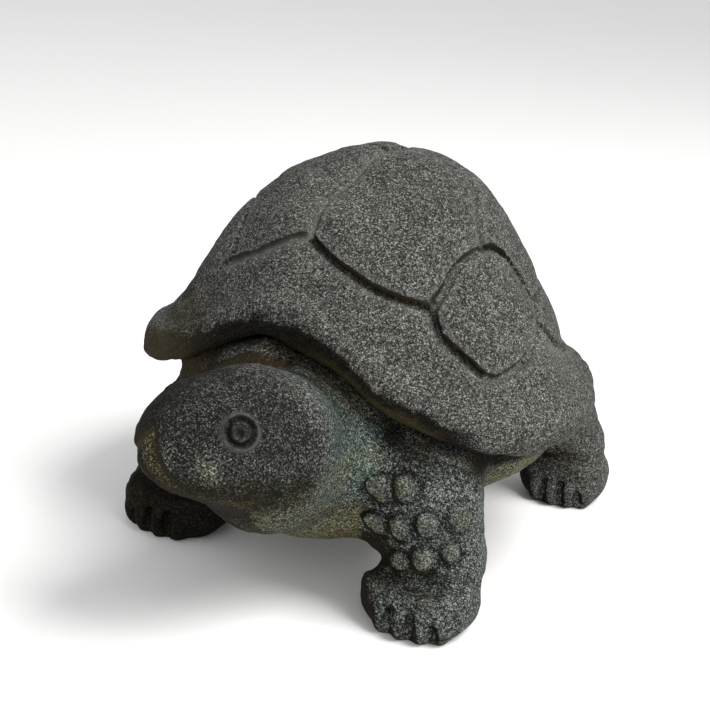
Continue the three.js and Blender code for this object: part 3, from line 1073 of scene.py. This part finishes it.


# Painted shade, wear and meshing


@dataclass(frozen=True)
class ShadeAndWear:
    """Where the stone is painted with shade and highlights, and where it is grimy or stained. A pair is where
    a soft step starts and ends.
    """

    figure: Tortoise
    hollow_reach: float = 3.0
    shade_reach: float = 18.0
    shell_edge: Spot = (4.0, 6.5)
    front_half: Spot = (-30.0, 20.0)
    head_edge: Spot = (0.0, 12.0)
    head_end: Spot = (-124.0, -98.0)
    head_left: float = 0.2
    neck_edge: Spot = (4.0, 14.0)
    belly_edge: Spot = (0.5, 5.0)
    limb_edge: Spot = (1.0, 8.0)
    downward: Spot = (-0.1, 0.7)
    # Painted shade on the side that faces away from the key light.
    unlit_side_slope: Spot = (0.0, 0.8)
    # Painted shade, with a brown stain, on surfaces that face away from the key light and down, and on the
    # far fore leg.
    far_side_way: Place = (-0.747, -0.1494, -0.6474)
    far_side_slope: Spot = (0.1, 0.9)
    far_side_share: float = 0.9
    far_side_height: Spot = (95.0, 120.0)
    far_leg_across: Spot = (22.0, 44.0)
    far_leg_height: Spot = (48.0, 72.0)
    lobe: Place = (-66.0, -66.0, 82.0)
    lobe_size: float = 26.0
    lobe_front: Spot = (0.0, 0.6)
    collar_edge: Spot = (1.0, 5.0)
    stain_share: float = 0.8
    rust_below: Spot = (0.0, 0.5)
    rust_start: Spot = (-12.0, 18.0)
    rust_end: Spot = (50.0, 66.0)
    # Painted shadow of the brim on the body close under it, lighter on neck and fore legs.
    brim_shadow_edge: Spot = (9.0, 19.0)
    brim_shadow_spared: float = 0.7
    # Painted shade on the shell's downward faces, the brim's front face and underside, lighter towards the
    # end that faces the key light.
    brim_below: Spot = (-0.27, 0.12)
    brim_end: Spot = (52.0, 80.0)
    brim_lit_end: float = 0.75
    seam_width: float = 1.25
    hind_crease: float = 0.3
    mouth_width: float = 1.7
    jaw_drop: float = 4.0
    jaw_reach: float = 16.0
    jaw_width: float = 5.0
    # A painted highlight just outside the crest of the left eye's raised ring.
    ring_shift: float = 0.4
    ring_width: float = 0.8
    ring_highlight: float = 0.6
    smooth_eye: Spot = (6.0, 8.0)
    smooth_scale: float = 0.6
    pale_spots: tuple[tuple[Place, float], ...] = (
        ((5.5, -151.3, 78.0), 4.6), ((-17.0, -150.5, 86.0), 2.6),
        ((32.0, -96.0, 65.0), 9.0), ((38.0, -83.0, 68.0), 6.0),
    )

    def hollowness(self, points: Array, out: Array, reach: float) -> Array:
        """Returns how enclosed each point is within a reach, from 0 in the open to 1 in a deep hollow."""
        return np.clip(1.0 - self.figure.distance(points + out * reach) / reach, 0.0, 1.0)

    def at(self, points: Array, out: Array) -> dict[str, Array]:
        """Works out the painted shade, painted highlights and wear of each corner.

        Args:
            points: The corners.
            out: Outward direction at each corner.

        Returns:
            One number for each corner, by the name of its mask.
        """
        figure, head, legs = self.figure, self.figure.head, self.figure.legs()
        x, y, z = points.T
        shell, skull = figure.shell.distance(points), head.skull.distance(points)
        ahead = fall(y, *self.front_half)
        on_shell, off_shell = fall(np.abs(shell), *self.shell_edge), ramp(np.abs(shell), *self.shell_edge)
        moat = np.max([leg.most(Scale.moat, points) for leg in legs], axis=0)
        scale = np.max([leg.most(Scale.dome, points) for leg in legs], axis=0) * (1.0 - moat)
        on_head = fall(skull, *self.head_edge) * (1.0 - (1.0 - self.head_left) * ramp(y, *self.head_end))
        neck = fall(head.neck.distance(points), *self.neck_edge) * (1.0 - on_head) * off_shell
        limb = fall(np.min([leg.distance(points) for leg in figure.fore_legs], axis=0), *self.limb_edge)
        dark_side = self.far_side_share * ramp(out @ np.array(self.far_side_way), *self.far_side_slope)
        dark_leg = ramp(-x, *self.far_leg_across) * fall(z, *self.far_leg_height) * ahead
        lobe = fade(length(points - self.lobe), self.lobe_size) * ramp(-out[:, 1], *self.lobe_front)
        collar = fall(figure.collar.distance(points), *self.collar_edge) * off_shell
        rust = ramp(-out[:, 2], *self.rust_below) * ramp(x, *self.rust_start) * fall(x, *self.rust_end)
        brim_shadow = fall(shell, *self.brim_shadow_edge) * off_shell * ahead * (1.0 - collar / 2)
        brim = ramp(-out[:, 2], *self.brim_below) * (1.0 - self.brim_lit_end * ramp(x, *self.brim_end))
        creases, hind = (np.max([leg.shade_paint(points) for leg in pair], axis=0) for pair in (legs[:2], legs[2:]))
        eyes = head.eye_shade(points, Side.LEFT) + head.eye_shade(points, Side.RIGHT)
        seam = figure.seam_shading(points, self.seam_width) * on_shell
        from_eye = head.eye_distance(points, Side.LEFT)
        eye_ring = fade(from_eye - head.ring_radius - self.ring_shift, self.ring_width)
        return {
            # Painted shade in narrow and wide hollows.
            "hollow": self.hollowness(points, out, self.hollow_reach),
            "shade": self.hollowness(points, out, self.shade_reach),
            # A painted highlight on the scale tops, and painted shade with grime in the grooves round them.
            "scale": scale,
            "moat": moat,
            "lower_side": ramp(-out[:, 2], *self.downward),
            # Painted shade on the side away from the key light.
            "lee": ramp(-out[:, 0], *self.unlit_side_slope),
            "belly": fall(figure.trunk_distance(points), *self.belly_edge),
            "neck": neck,
            "head": on_head,
            "limb": limb * off_shell,
            # Painted shade on the far side and the far fore leg, which also take a brown stain.
            "far_side_shade_and_stain": np.maximum(dark_side * fall(z, *self.far_side_height), dark_leg),
            "earth": self.stain_share * np.maximum(lobe, collar),
            "rust": rust * on_shell * ahead,
            # Painted shadow of the brim on the body below it.
            "brim_shadow": brim_shadow * (1.0 - self.brim_shadow_spared * np.maximum(neck, limb)),
            # Painted shade on the brim's front face and underside.
            "brim": brim * on_shell * (1.0 + ahead) / 2,
            "snout": sum(fade(length(points - spot), size) for spot, size in self.pale_spots),
            "jaw": fade(head.mouth_distance(points, self.jaw_drop, self.jaw_reach), self.jaw_width) * on_head,
            "mouth": fade(head.mouth_distance(points, 0.0, head.mouth_reach), self.mouth_width) * on_head,
            "smooth": np.maximum(fall(from_eye, *self.smooth_eye), self.smooth_scale * scale),
            # Painted shade in the seams.
            "seam": np.maximum(seam, 0.0),
            # Painted highlights on light-catching seams, beside the seams and round the left eye's ring.
            "dust": np.maximum(-seam, self.ring_highlight * eye_ring),
            # Painted shade in the eyes, the foot creases and between the toes.
            "eye": eyes + creases + self.hind_crease * hind,
        }


@dataclass
class StoneMesh:
    """A closed mesh over the zero surface of a field, with the fields of its painted shade, highlights and
    wear.
    """

    sculpture: Tortoise
    spacing: float = 1.3
    ratio: int = 3
    near_blocks: float = 1.35
    near_room: float = 2.0
    refined: bool = True
    most_triangles: int = 194000
    box_room: float = 0.02
    probe: float = 0.35
    least_slope: float = 0.4
    ripples: tuple[tuple[float, int, float], ...] = ((34.0, 21, 0.28), (12.0, 22, 0.14), (5.0, 23, 0.075))
    loss: float = 0.42
    most_loss: float = 1.3
    unworn_height: float = 3.0
    name: str = "tortoise_carving"
    corners: Array = field(init=False, repr=False)
    faces: Array = field(init=False, repr=False)

    def sample(self) -> tuple[Array, Array]:
        """Samples the field on a grid, finely only near the surface.

        Returns:
            The grid of distances and its lowest corner.
        """
        low, high = np.array(self.sculpture.low), np.array(self.sculpture.high)
        block = self.spacing * self.ratio
        counts = np.ceil((high - low) / block).astype(int)
        cells = np.indices(counts).reshape(3, -1).T
        offset = (self.ratio - 1) / 2 * self.spacing
        coarse = self.sculpture.distance(low + cells * block + offset)
        grid = coarse.reshape(counts)
        for axis in range(3):
            grid = np.repeat(grid, self.ratio, axis=axis)
        active = cells[np.abs(coarse) < self.near_blocks * block + self.near_room] * self.ratio
        inner = np.indices([self.ratio] * 3).reshape(3, -1).T
        fine = (active[:, None, :] + inner).reshape(-1, 3)
        grid[tuple(fine.T)] = self.sculpture.distance(low + fine * self.spacing)
        LOG.info("grid %s, %d fine samples", grid.shape, len(fine))
        return grid, low

    def nets(self, grid: Array, low: Array) -> None:
        """Lays one corner in each cell that the surface crosses and one face across each crossed edge.

        Args:
            grid: Distances on a regular grid.
            low: The grid's lowest corner.
        """
        inside = grid < 0
        size = [n - 1 for n in grid.shape]
        steps = [(i, j, k) for i in (0, 1) for j in (0, 1) for k in (0, 1)]
        filled = np.zeros(size, dtype=np.int8)
        for i, j, k in steps:
            filled += inside[i:size[0] + i, j:size[1] + j, k:size[2] + k]
        crossed = (filled > 0) & (filled < 8)
        numbers = np.full(size, -1)
        cells = np.argwhere(crossed)
        numbers[crossed] = np.arange(len(cells))
        total, count = np.zeros((len(cells), 3)), np.zeros(len(cells))
        for start in steps:
            for axis in range(3):
                if start[axis]:
                    continue
                end = [*start]
                end[axis] = 1
                one = grid[tuple((cells + start).T)]
                two = grid[tuple((cells + end).T)]
                hit = (one < 0) != (two < 0)
                place = np.tile(np.array(start, dtype=float), (len(cells), 1))
                place[:, axis] = np.where(hit, one / np.where(hit, one - two, 1.0), 0.0)
                total += place * hit[:, None]
                count += hit
        self.corners = low + (cells + total / count[:, None]) * self.spacing
        faces = []
        for axis in range(3):
            first, second = [slice(1, -1)] * 3, [slice(1, -1)] * 3
            first[axis], second[axis] = slice(0, -1), slice(1, None)
            one, two = inside[tuple(first)], inside[tuple(second)]
            edges = np.argwhere(one != two)
            leaving = one[tuple(edges.T)]
            edges = edges + 1
            edges[:, axis] -= 1
            ring = []
            for shift in ((0, 0), (1, 0), (1, 1), (0, 1)):
                cell = edges.copy()
                cell[:, (axis + 1) % 3] -= shift[0]
                cell[:, (axis + 2) % 3] -= shift[1]
                ring.append(numbers[tuple(cell.T)])
            quads = np.stack(ring, axis=1)
            quads[~leaving] = quads[~leaving][:, ::-1]
            faces.append(quads)
        self.faces = np.concatenate(faces)

    def refine(self) -> None:
        """Splits the mesh into triangles, and each edge in two where the carving is fine."""
        chosen = self.sculpture.is_fine(self.corners)
        triangles = np.concatenate([self.faces[:, [0, 1, 2]], self.faces[:, [0, 2, 3]]])
        sides = np.sort(np.concatenate([triangles[:, pair] for pair in ([0, 1], [1, 2], [2, 0])]), axis=1)
        edges, which = np.unique(sides, axis=0, return_inverse=True)
        split = chosen[edges].all(axis=1)
        number = np.where(split, len(self.corners) + np.cumsum(split) - 1, -1)
        self.corners = np.vstack([self.corners, self.corners[edges[split]].mean(axis=1)])
        middle = number[which.ravel()].reshape(3, -1).T
        count = (middle >= 0).sum(axis=1)
        whole, one, three = triangles[count == 0], triangles[count == 1], triangles[count == 3]
        place = np.argmax(middle[count == 1] >= 0, axis=1)
        row = np.arange(len(one))
        start, end, tip = one[row, place], one[row, (place + 1) % 3], one[row, (place + 2) % 3]
        half = middle[count == 1][row, place]
        (a, b, c), (ab, bc, ca) = three.T, middle[count == 3].T
        pieces = [(start, half, tip), (half, end, tip), (a, ab, ca), (b, bc, ab), (c, ca, bc), (ab, bc, ca)]
        self.faces = np.concatenate([whole, *(np.stack(piece, axis=1) for piece in pieces)])

    def settle(self) -> Array:
        """Moves each corner on to the exact surface.

        Returns:
            The outward direction at each corner.
        """
        here = self.sculpture.distance(self.corners)
        ways = [self.sculpture.distance(self.corners + self.probe * axis) - here for axis in np.eye(3)]
        way = np.stack(ways, axis=1) / self.probe
        steepness = np.maximum(length(way), self.least_slope)
        step = np.clip(here / steepness, -0.5 * self.spacing, 0.5 * self.spacing)
        out = way / steepness[:, None]
        self.corners = self.corners - out * step[:, None]
        return out

    def weather(self, out: Array) -> None:
        """Wears the surface down a little and unevenly, never outwards.

        Args:
            out: Outward direction at each corner.
        """
        points = self.corners
        wave = sum(height * Ripples(wavelength, seed)(points) for wavelength, seed, height in self.ripples)
        depth = np.clip(self.loss - wave, 0.0, self.most_loss) * ramp(points[:, 2], 0.0, self.unworn_height)
        self.corners = points - out * depth[:, None]
        self.corners[:, 2] = np.maximum(self.corners[:, 2], 0.0)

    def build(self) -> bpy.types.Object:
        """Samples, meshes and weathers the figure.

        Returns:
            The finished object with its painted shade, highlights and wear stored as attributes.
        """
        grid, low = self.sample()
        self.nets(grid, low)
        if self.refined:
            self.settle()
            self.refine()
        self.settle()
        self.weather(self.settle())
        mesh = self.thinned()
        count = len(mesh.vertices)
        places, out = np.empty(count * 3), np.empty(count * 3)
        mesh.vertices.foreach_get("co", places)
        self.corners = from_frame(places.reshape(-1, 3))
        self.keep_inside()
        mesh.vertices.foreach_set("co", to_frame(self.corners).ravel())
        mesh.update()
        mesh.shade_smooth()
        mesh.vertices.foreach_get("normal", out)
        for kind, values in ShadeAndWear(self.sculpture).at(self.corners, out.reshape(-1, 3)).items():
            layer = mesh.attributes.new(kind, "FLOAT", "POINT")
            layer.data.foreach_set("value", np.ascontiguousarray(values, dtype=np.float32))
        LOG.info("%s: %d corners, %d faces", self.name, count, len(mesh.polygons))
        return in_scene(self.name, mesh)

    def keep_inside(self) -> None:
        """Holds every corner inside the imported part's box."""
        low, high = (from_frame(np.array(corner)) for corner in CAD_BOX)
        self.corners = np.clip(self.corners, low + (self.box_room, self.box_room, 0.0), high - self.box_room)

    def thinned(self) -> bpy.types.Mesh:
        """Turns the corners and faces into a mesh, with fewer triangles where the stone is plain.

        Returns:
            The mesh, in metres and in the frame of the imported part.
        """
        whole = bpy.data.meshes.new("whole")
        whole.from_pydata(to_frame(self.corners).tolist(), [], self.faces.tolist())
        whole.validate()
        holder = in_scene("holder", whole)
        triangles = len(self.faces) * (self.faces.shape[1] - 2)
        if triangles > self.most_triangles:
            thinning = holder.modifiers.new("thinning", "DECIMATE")
            thinning.ratio = self.most_triangles / triangles
        mesh = bpy.data.meshes.new_from_object(holder.evaluated_get(bpy.context.evaluated_depsgraph_get()))
        mesh.name = self.name
        bpy.data.objects.remove(holder)
        bpy.data.meshes.remove(whole)
        return mesh


# Shader maths

Number = float | int
Tone = tuple[float, float, float]
Weights = tuple[tuple[str, float], ...]


class Shade:
    """A shader socket that answers to arithmetic by adding Math nodes."""

    def __init__(self, bench: "Bench", socket: bpy.types.NodeSocket) -> None:
        """Wraps a socket.

        Args:
            bench: The bench whose tree holds the socket.
            socket: An output socket.
        """
        self.bench = bench
        self.socket = socket

    def _maths(self, operation: str, first: "Shade | Number", second: "Shade | Number") -> "Shade":
        """Adds one Math node and returns its result."""
        return self.bench.out("ShaderNodeMath", {"operation": operation}, {0: first, 1: second})

    def __add__(self, other: "Shade | Number") -> "Shade":
        """Returns the sum."""
        return self._maths("ADD", self, other)

    def __sub__(self, other: "Shade | Number") -> "Shade":
        """Returns the difference."""
        return self._maths("SUBTRACT", self, other)

    def __rsub__(self, other: Number) -> "Shade":
        """Returns the difference."""
        return self._maths("SUBTRACT", other, self)

    def __mul__(self, other: "Shade | Number") -> "Shade":
        """Returns the product."""
        return self._maths("MULTIPLY", self, other)

    __radd__ = __add__
    __rmul__ = __mul__

    def step(self, low: float, high: float) -> "Shade":
        """Returns a smooth step of this value, from 0 at low to 1 at high."""
        sockets = {"Value": self, 1: low, 2: high, 3: 0.0, 4: 1.0}
        return self.bench.out("ShaderNodeMapRange", {"interpolation_type": "SMOOTHSTEP"}, sockets)


class Bench:
    """The node tree of one material, with one way to add a node."""

    def __init__(self, name: str) -> None:
        """Starts a material with an empty tree.

        Args:
            name: The material's name.
        """
        self.material = bpy.data.materials.new(name)
        self.material.use_nodes = True
        self.tree = self.material.node_tree
        self.tree.nodes.clear()

    def node(self, kind: str, settings: dict | None = None, sockets: dict | None = None) -> bpy.types.Node:
        """Adds a node.

        Args:
            kind: The node's type.
            settings: Its settings, which are set first; stops are a ramp's places and colours.
            sockets: Values or links of its input sockets, by name or number.

        Returns:
            The node.
        """
        made = self.tree.nodes.new(kind)
        for key, value in (settings or {}).items():
            if key == "stops":
                for index, (place, colour) in enumerate(value):
                    spots = made.color_ramp.elements
                    spot = spots[index] if index < len(spots) else spots.new(place)
                    spot.position, spot.color = place, (*colour, 1.0)
            else:
                setattr(made, key, value)
        for key, value in (sockets or {}).items():
            socket = made.inputs[key]
            if isinstance(value, Shade):
                self.tree.links.new(value.socket, socket)
            elif isinstance(value, tuple) and len(value) == 3 and socket.type == "RGBA":
                socket.default_value = (*value, 1.0)
            else:
                socket.default_value = value
        return made

    def out(
        self, kind: str, settings: dict | None = None, sockets: dict | None = None, output: str | int = 0,
    ) -> Shade:
        """Adds a node and returns the output of the given name or number."""
        return Shade(self, self.node(kind, settings, sockets).outputs[output])

    def worn(self, name: str) -> Shade:
        """Returns a number kept at the mesh's corners, one of the masks of painted shade, highlights, stains
        and wear.
        """
        return self.out("ShaderNodeAttribute", {"attribute_name": name}, output="Fac")

    def total(self, weights: Weights) -> Shade:
        """Returns the sum of several masks of painted shade, highlights and wear, each by its weight."""
        return sum(self.worn(name) * weight for name, weight in weights)

    def mix(
        self, share: Shade | Number, first: Shade | Tone, second: Shade | Tone, blend: str = "MIX",
    ) -> Shade:
        """Returns two colours mixed by the share of the second one."""
        settings = {"data_type": "RGBA", "blend_type": blend}
        return self.out("ShaderNodeMix", settings, {0: share, 6: first, 7: second}, output=2)

    def ramp(self, value: Shade, *stops: tuple[float, Tone]) -> Shade:
        """Returns the colour of each value, between stops of a place and its colour."""
        return self.out("ShaderNodeValToRGB", {"stops": stops}, {0: value})

    def noise(self, where: Shade, scale: float, detail: float = 3.0, roughness: float = 0.55) -> Shade:
        """Returns a cloudy field around one half, with so many clouds in a metre."""
        sockets = {"Vector": where, "Scale": scale, "Detail": detail, "Roughness": roughness}
        return self.out("ShaderNodeTexNoise", None, sockets)

    def crystals(self, where: Shade, scale: float) -> Shade:
        """Returns one random number from 0 to 1 for each crystal, with so many crystals in a metre."""
        cells = self.out("ShaderNodeTexVoronoi", None, {"Vector": where, "Scale": scale}, "Color")
        return self.out("ShaderNodeSeparateColor", None, {0: cells})

    def finish(self, sockets: dict) -> bpy.types.Material:
        """Closes the tree with a surface shader of the given sockets and returns the material."""
        self.node("ShaderNodeOutputMaterial", None, {0: self.out("ShaderNodeBsdfPrincipled", None, sockets)})
        return self.material


@dataclass(frozen=True)
class GraniteFinish:
    """Rough dark granite: black and pale crystals, weathered olive and brown where stained, with painted
    shade and painted highlights.
    """

    name: str = "dark_granite"
    crystal_scale: float = 2100.0
    clump_scale: float = 1050.0
    grain_scale: float = 2000.0
    cloud_scale: float = 24.0
    patch_scale: float = 70.0
    black: Tone = (0.006, 0.0065, 0.006)
    dark: Tone = (0.021, 0.022, 0.020)
    middle: Tone = (0.049, 0.051, 0.048)
    pale: Tone = (0.138, 0.141, 0.133)
    white: Tone = (0.32, 0.32, 0.305)
    tone_places: tuple[float, ...] = (0.16, 0.36, 0.54, 0.72, 0.90)
    salt_weights: tuple[float, ...] = (0.5, 0.14, 0.9, 0.2)
    salt_middle: float = 0.87
    grain_middle: float = 0.5
    # The grain darkens under the painted shade and grime.
    darkening: float = 0.16
    lightening: float = 0.05
    # The grain's contrast grows under the painted shade and grime.
    shade_and_dirt_contrast: float = 0.6
    limb_contrast: float = 0.15
    smooth_calm: float = 0.45
    # Pale colour of the painted highlights.
    dust: Tone = (0.15, 0.152, 0.14)
    highlight_cover: float = 0.55
    olive: Tone = (1.14, 1.12, 0.74)
    brown: Tone = (1.0, 0.80, 0.44)
    cool: Tone = (0.74, 1.07, 1.04)
    cool_neck: float = 0.75
    cool_lost_below: float = 0.5
    cool_limb: float = 0.3
    warm: Tone = (1.02, 1.0, 0.97)
    # Near-black colour of the painted shade and of the dark lines in the grooves.
    shade_paint: Tone = (0.0035, 0.003, 0.002)
    shade_and_dirt_cover: float = 0.88
    earth: Tone = (0.030, 0.0235, 0.0115)
    # Weights of the darkening, mostly painted shade: in hollows, round the scales, on the head under the
    # shell, under the brim, in the brim's shadow and on the far and unlit sides. Earth darkens as a stain;
    # negative weights lighten: a painted highlight on the scale tops, and pale stains on the snout, the jaw
    # and under the brim's left front.
    shade_and_dirt_weights: Weights = (
        ("hollow", 0.3), ("shade", 0.32), ("moat", 0.42), ("head", 0.77), ("neck", -0.15), ("brim", 1.45),
        ("far_side_shade_and_stain", 1.6), ("brim_shadow", 1.4), ("earth", 0.8), ("limb", 0.24), ("lee", 0.4), ("scale", -0.3),
        ("snout", -0.65), ("rust", -0.6), ("jaw", -0.4),
    )
    # Painted shade under the head and neck, and painted light under the belly.
    shade_below: Weights = (("head", 0.3), ("neck", 0.3), ("belly", -1.0))
    dirt_patches: float = 0.5
    full_shade_and_dirt: float = 1.2
    green_below: Weights = (("belly", 2.0), ("head", 1.2), ("neck", 0.5))
    green_scale: float = 0.5
    green_snout: float = 0.6
    green_patch: tuple[float, float] = (0.2, 0.6)
    brown_patches: Weights = (("lower_side", 0.4), ("shade", 0.6), ("brim", 0.6))
    browned: Weights = (("jaw", 0.9), ("far_side_shade_and_stain", 0.7), ("rust", 1.0), ("earth", 1.0))
    brown_unlit_side: float = 0.6
    brown_patch: tuple[float, float] = (0.3, 0.6)
    muddy: Weights = (("rust", 1.0), ("earth", 1.0), ("jaw", 0.7))
    # Painted shade in the seams, the beak's line, the eyes, the foot creases and between the toes.
    groove_shade: Weights = (("seam", 0.85), ("mouth", 0.8), ("eye", 0.85))
    roughness: float = 0.85
    specular: float = 0.1
    grain_depth: float = 0.0003
    bump_strength: float = 0.8
    bump_weights: Place = (0.7, 0.4, 0.5)

    def make(self) -> bpy.types.Material:
        """Builds the node tree.

        Returns:
            The material.
        """
        bench = Bench(self.name)
        where = bench.out("ShaderNodeTexCoord", output="Object")
        small, large = bench.crystals(where, self.crystal_scale), bench.crystals(where, self.clump_scale)
        fine = bench.noise(where, self.grain_scale, 2.0, 0.6)
        broad = bench.noise(where, self.cloud_scale, 3.0, 0.6)
        patch = bench.noise(where, self.patch_scale, 4.0, 0.65)
        names = ("scale", "lower_side", "lee", "belly", "neck", "limb", "snout", "smooth", "dust")
        scale, lower, lee, belly, neck, limb, snout, smooth, dust = (bench.worn(name) for name in names)
        # One share of darkening: painted shade, with grime and stains, mottled by patches.
        shade_and_dirt = bench.total(self.shade_and_dirt_weights) + bench.total(self.shade_below) * lower
        shade_and_dirt_share = (shade_and_dirt + (patch - 0.5) * self.dirt_patches).step(0.0, self.full_shade_and_dirt)
        fields = zip(self.salt_weights, (small, large, fine, broad))
        salt = sum(weight * grains for weight, grains in fields) - self.salt_middle
        contrast = 1.0 + self.shade_and_dirt_contrast * shade_and_dirt_share + self.limb_contrast * limb
        contrast = contrast * (1.0 - self.smooth_calm * smooth)
        light = self.grain_middle - self.darkening * shade_and_dirt_share
        # Lighter on the smooth eyes and scale tops and on the pale patches, with painted light on the belly's
        # underside.
        light = light + self.lightening * (smooth + snout + belly * lower)
        tones = (self.black, self.dark, self.middle, self.pale, self.white)
        stone = bench.ramp(salt * contrast + light, *zip(self.tone_places, tones))
        cold = neck * (self.cool_neck - lower * self.cool_lost_below) + limb * self.cool_limb
        tint = bench.mix(cold, self.warm, self.cool)
        green = bench.total(self.green_below) * lower + snout * self.green_snout
        green = green + scale * self.green_scale * patch.step(*self.green_patch)
        tint = bench.mix(green.step(0.0, 1.0), tint, self.olive)
        brown = bench.total(self.brown_patches) * patch.step(*self.brown_patch) + bench.total(self.browned)
        tint = bench.mix((brown + limb * lee * self.brown_unlit_side).step(0.05, 1.0), tint, self.brown)
        stone = bench.mix(1.0, stone, tint, "MULTIPLY")
        mud = bench.mix(bench.total(self.muddy).step(0.0, 0.9), self.shade_paint, self.earth)
        # Covers the stone with painted shade where that share is high, turning to earth colour where stained.
        stone = bench.mix(shade_and_dirt_share * shade_and_dirt_share * self.shade_and_dirt_cover, stone, mud)
        # Paints the highlights on the seams and the left eye's ring.
        stone = bench.mix(dust * self.highlight_cover, stone, self.dust)
        # Paints dark lines of shade into the grooves.
        stone = bench.mix(bench.total(self.groove_shade) * (0.5 + 0.7 * patch), stone, self.shade_paint)
        height = sum(weight * bumps for weight, bumps in zip(self.bump_weights, (fine, small, patch)))
        relief = {"Strength": self.bump_strength, "Distance": self.grain_depth, "Height": height}
        return bench.finish({
            "Base Color": stone, "Roughness": patch * 0.1 + self.roughness,
            "Specular IOR Level": self.specular, "Normal": bench.out("ShaderNodeBump", None, relief),
        })


@dataclass(frozen=True)
class FloorFinish:
    """A pale, faintly mottled studio floor."""

    name: str = "pale_floor"
    light: Tone = (0.86, 0.86, 0.86)
    soft: Tone = (0.83, 0.83, 0.83)
    cloud_scale: float = 3.0

    def make(self) -> bpy.types.Material:
        """Builds the node tree.

        Returns:
            The material.
        """
        bench = Bench(self.name)
        clouds = bench.noise(bench.out("ShaderNodeTexCoord", output="Object"), self.cloud_scale, 2.0)
        colour = bench.mix(clouds, self.soft, self.light)
        return bench.finish({"Base Color": colour, "Roughness": 0.9, "Specular IOR Level": 0.1})


# Studio


@dataclass
class Studio:
    """The pale floor, the soft lights and the camera at the photograph's angle."""

    azimuth: float = 23.8
    elevation: float = 19.6
    roll: float = 5.3
    distance: float = 620.0
    target: Place = (-10.4, 0.0, 72.4)
    focal_pixels: float = 1427.0
    sensor: float = 36.0
    floor_size: float = 9.0
    key_place: Place = (0.8, 0.05, 1.2)
    front_place: Place = (0.1, -1.3, 0.8)
    lit: Place = (0.0, 0.0, 0.07)
    sky: float = 0.75

    def build_floor(self) -> bpy.types.Object:
        """Lays the floor.

        Returns:
            The floor.
        """
        half = self.floor_size / 2
        mesh = bpy.data.meshes.new("floor")
        corners = [(-half, -half, 0.0), (half, -half, 0.0), (half, half, 0.0), (-half, half, 0.0)]
        mesh.from_pydata(corners, [], [(0, 1, 2, 3)])
        mesh.materials.append(FloorFinish().make())
        floor = in_scene("floor", mesh)
        return floor

    def build_light(self, name: str, place: Place, size: float, power: float, tone: Tone) -> bpy.types.Object:
        """Hangs one soft light that faces the figure.

        Args:
            name: Name of the light.
            place: Its place in metres.
            size: Width of its square face in metres.
            power: Its power in watts.
            tone: Its colour.

        Returns:
            The light.
        """
        lamp = bpy.data.lights.new(name, "AREA")
        lamp.size, lamp.energy, lamp.color = size, power, tone
        made = in_scene(name, lamp)
        made.location = place
        made.rotation_mode = "QUATERNION"
        made.rotation_quaternion = (Vector(self.lit) - Vector(place)).to_track_quat("-Z", "Y")
        return made

    def build_sky(self) -> None:
        """Fills the room with pale light."""
        world = bpy.data.worlds.new("room")
        world.use_nodes = True
        ground = world.node_tree.nodes["Background"]
        ground.inputs["Color"].default_value = (1.0, 1.0, 1.0, 1.0)
        ground.inputs["Strength"].default_value = self.sky
        bpy.context.scene.world = world

    def build_camera(self) -> bpy.types.Object:
        """Sets up the camera.

        Returns:
            The camera.
        """
        turn, rise, roll = (math.radians(a) for a in (self.azimuth, self.elevation, self.roll))
        back = Vector((math.sin(turn) * math.cos(rise), -math.cos(turn) * math.cos(rise), math.sin(rise)))
        right = (-back).cross(Vector(UP)).normalized()
        up = right.cross(-back)
        right, up = right * math.cos(roll) + up * math.sin(roll), up * math.cos(roll) - right * math.sin(roll)
        aim = Vector(self.target) + Vector((0.0, SHELL_MIDDLE, 0.0))
        data = bpy.data.cameras.new("camera")
        data.sensor_width = self.sensor
        data.lens = self.focal_pixels * self.sensor / FRAME_PIXELS
        data.clip_start, data.clip_end = 0.01, 50.0
        camera = in_scene("camera", data)
        axes = Matrix((right, up, back)).transposed()
        camera.matrix_world = Matrix.Translation((aim + back * self.distance) * METRES) @ axes.to_4x4()
        bpy.context.scene.camera = camera
        return camera

    def build(self) -> None:
        """Builds the whole studio."""
        self.build_floor()
        self.build_sky()
        self.build_light("key", self.key_place, size=0.8, power=24.0, tone=(1.0, 0.99, 0.97))
        self.build_light("front", self.front_place, size=0.9, power=3.5, tone=(0.98, 0.99, 1.0))
        self.build_camera()
        bpy.context.scene.view_settings.view_transform = "Standard"
        LOG.info("studio: floor, sky, key and front light, camera")


def main() -> None:
    """Builds the figure, held inside the imported part's box, and the studio."""
    logging.basicConfig(level=logging.INFO, format="%(name)s: %(message)s")
    stone = StoneMesh(Tortoise(), spacing=1.3, refined=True)
    carving = stone.build()
    carving.data.materials.append(GraniteFinish().make())
    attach(carving, "root")
    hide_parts("turtle")
    LOG.info("%s rides on root and stands for turtle", carving.name)
    Studio().build()
    LOG.info("boxes kept")


if __name__ == "__main__":
    main()
